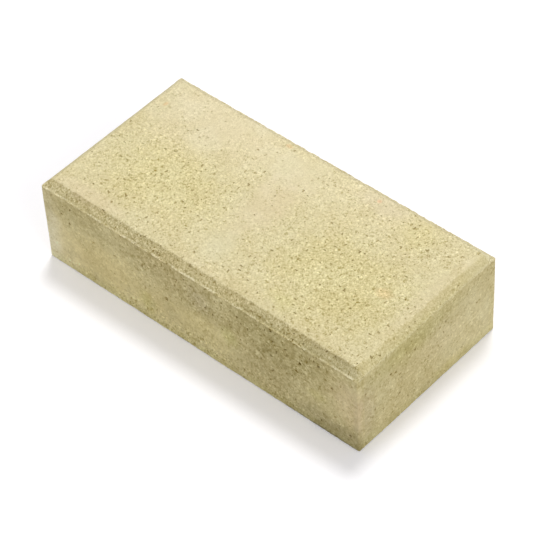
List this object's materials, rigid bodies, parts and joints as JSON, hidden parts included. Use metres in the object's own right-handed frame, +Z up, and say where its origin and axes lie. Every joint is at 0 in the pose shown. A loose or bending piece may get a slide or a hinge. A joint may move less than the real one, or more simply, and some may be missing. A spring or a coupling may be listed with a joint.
{
  "type": "concrete paver",
  "caption": "Rectangular concrete paving block, cast in one piece, with bevelled top edges, a narrow step under the long bevels and a sandy buff face.",
  "frame": {"origin": "middle of the bed face, on the level that the paver lies on", "axes": "+X along the length, +Y across the width, +Z up through the wearing face"},
  "size_m": [0.23, 0.115, 0.06],
  "materials": {
    "concrete": "buff pressed concrete, matt, fine sandy grain with small open pits"
  },
  "bodies": {
    "root": {"paver": "concrete"}
  },
  "joints": []
}
